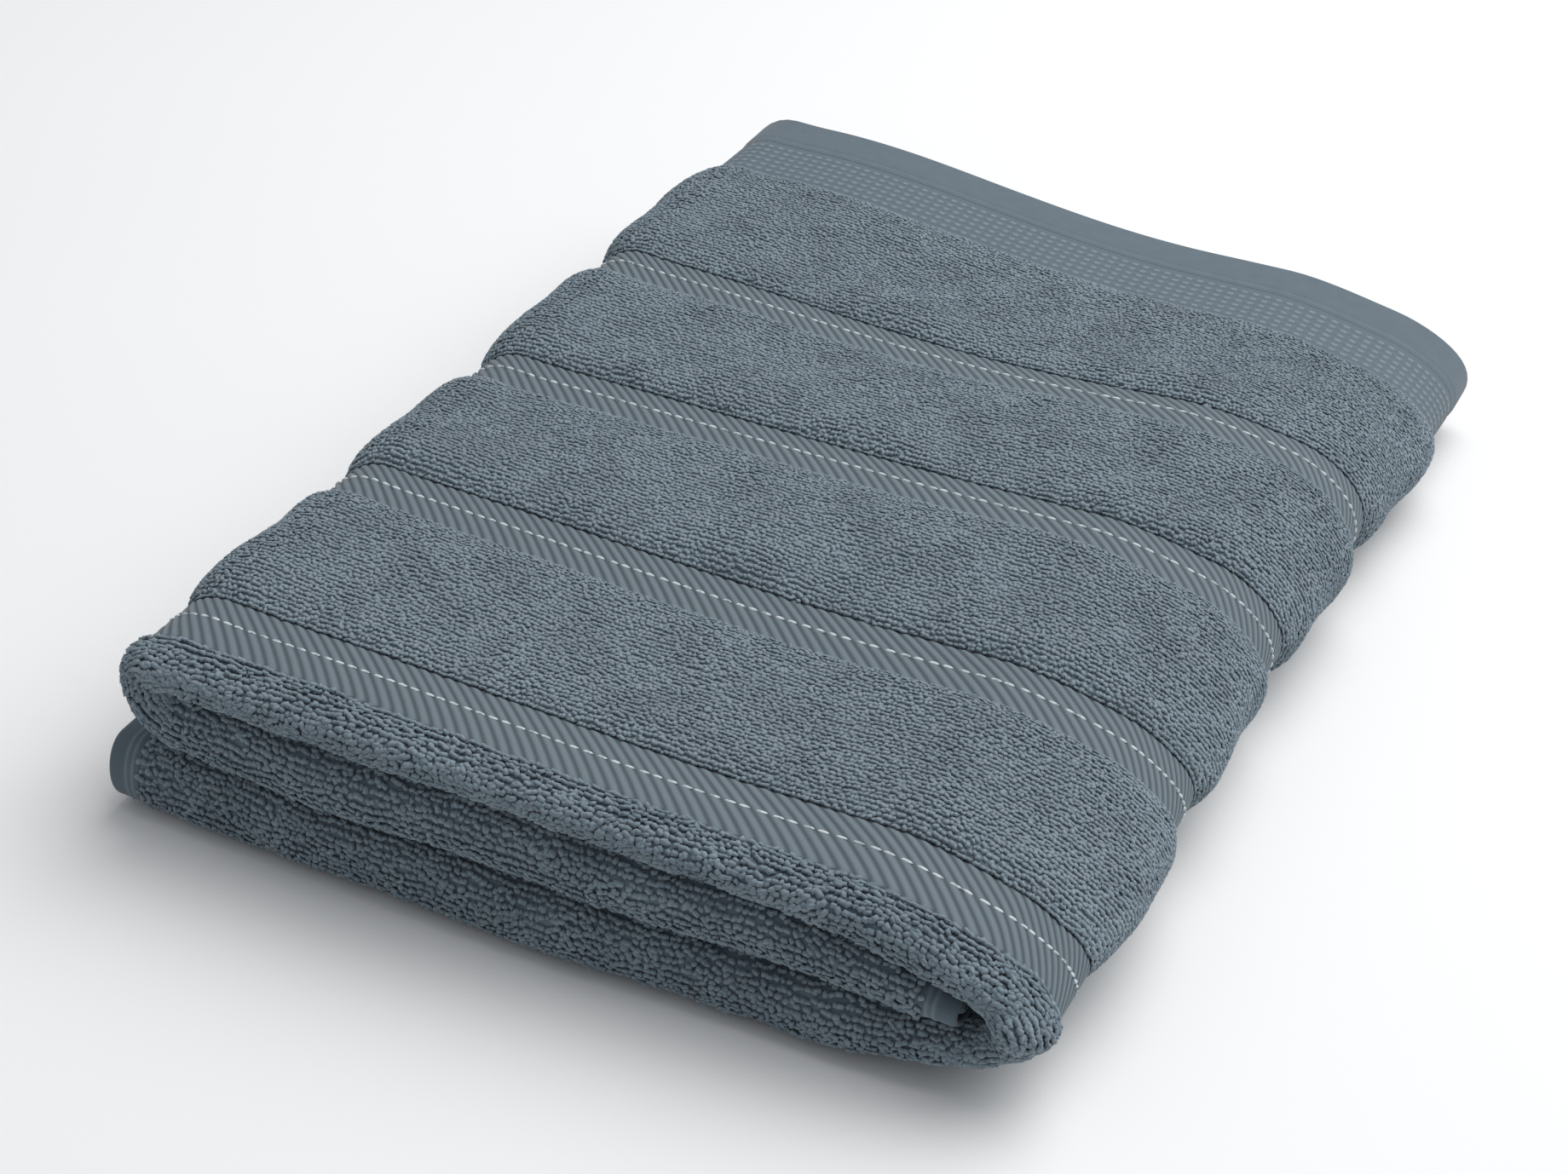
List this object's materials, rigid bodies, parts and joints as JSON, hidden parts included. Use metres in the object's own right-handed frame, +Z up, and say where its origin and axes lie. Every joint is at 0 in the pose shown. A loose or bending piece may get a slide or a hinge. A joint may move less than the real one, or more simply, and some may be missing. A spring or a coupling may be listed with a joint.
{
  "type": "bath towel",
  "caption": "Terry bath towel folded into a flat pack of three thirds, with recessed herringbone bands, pale accent threads and a dobby border; the top opens like a book along one fold",
  "frame": {"origin": "centre of the folded pack's footprint, on the surface that it lies on", "axes": "+Z up; +X along the short front edge, towards the wide fold that opens; +Y from the folded front edge towards the hemmed back edge"},
  "size_m": [0.2468, 0.3539, 0.0507],
  "materials": {
    "terry": "blue-grey cotton terry loops, matt",
    "herringbone_weave": "flat herringbone twill in the same blue-grey cotton",
    "border_weave": "flat dobby weave with rows of pale dashes",
    "hem": "flat plain weave, turned and stitched",
    "accent_thread": "pale grey-blue thread showing as dashes"
  },
  "bodies": {
    "lower_third": {"inner_band_1_lower": "herringbone_weave", "inner_band_2_lower": "herringbone_weave", "inner_band_3_lower": "herringbone_weave", "inner_band_4_lower": "herringbone_weave", "inner_border_lower": "border_weave", "inner_header_hem_lower": "hem", "outer_band_1_lower": "herringbone_weave", "outer_band_1_thread_lower": "accent_thread", "outer_band_2_lower": "herringbone_weave", "outer_band_2_thread_lower": "accent_thread", "outer_band_3_lower": "herringbone_weave", "outer_band_3_thread_lower": "accent_thread", "outer_band_4_lower": "herringbone_weave", "outer_band_4_thread_lower": "accent_thread", "outer_border_lower": "border_weave", "outer_header_hem_lower": "hem", "side_hem_lower": "hem", "terry_lower": "terry", "inner_band_1_right_turn": "herringbone_weave", "inner_band_2_right_turn": "herringbone_weave", "inner_band_3_right_turn": "herringbone_weave", "inner_band_4_right_turn": "herringbone_weave", "inner_border_right_turn": "border_weave", "inner_header_hem_right_turn": "hem", "outer_band_1_right_turn": "herringbone_weave", "outer_band_1_thread_right_turn": "accent_thread", "outer_band_2_right_turn": "herringbone_weave", "outer_band_2_thread_right_turn": "accent_thread", "outer_band_3_right_turn": "herringbone_weave", "outer_band_3_thread_right_turn": "accent_thread", "outer_band_4_right_turn": "herringbone_weave", "outer_band_4_thread_right_turn": "accent_thread", "outer_border_right_turn": "border_weave", "outer_header_hem_right_turn": "hem", "terry_right_turn": "terry"},
    "upper_fold": {"inner_band_1_upper": "herringbone_weave", "inner_band_2_upper": "herringbone_weave", "inner_band_3_upper": "herringbone_weave", "inner_band_4_upper": "herringbone_weave", "inner_border_upper": "border_weave", "inner_header_hem_upper": "hem", "outer_band_1_thread_upper": "accent_thread", "outer_band_1_upper": "herringbone_weave", "outer_band_2_thread_upper": "accent_thread", "outer_band_2_upper": "herringbone_weave", "outer_band_3_thread_upper": "accent_thread", "outer_band_3_upper": "herringbone_weave", "outer_band_4_thread_upper": "accent_thread", "outer_band_4_upper": "herringbone_weave", "outer_border_upper": "border_weave", "outer_header_hem_upper": "hem", "side_hem_tucked": "hem", "terry_upper": "terry"}
  },
  "joints": [
    {"name": "wide_fold_hinge", "type": "hinge", "parent": "lower_third", "child": "upper_fold", "pos_m": [0.11509, 0, 0.02535], "axis": [0, 1, 0], "range_deg": [0, 180], "deforming": ["inner_band_1_right_turn", "inner_band_2_right_turn", "inner_band_3_right_turn", "inner_band_4_right_turn", "inner_border_right_turn", "inner_header_hem_right_turn", "outer_band_1_right_turn", "outer_band_1_thread_right_turn", "outer_band_2_right_turn", "outer_band_2_thread_right_turn", "outer_band_3_right_turn", "outer_band_3_thread_right_turn", "outer_band_4_right_turn", "outer_band_4_thread_right_turn", "outer_border_right_turn", "outer_header_hem_right_turn", "terry_right_turn"]}
  ]
}
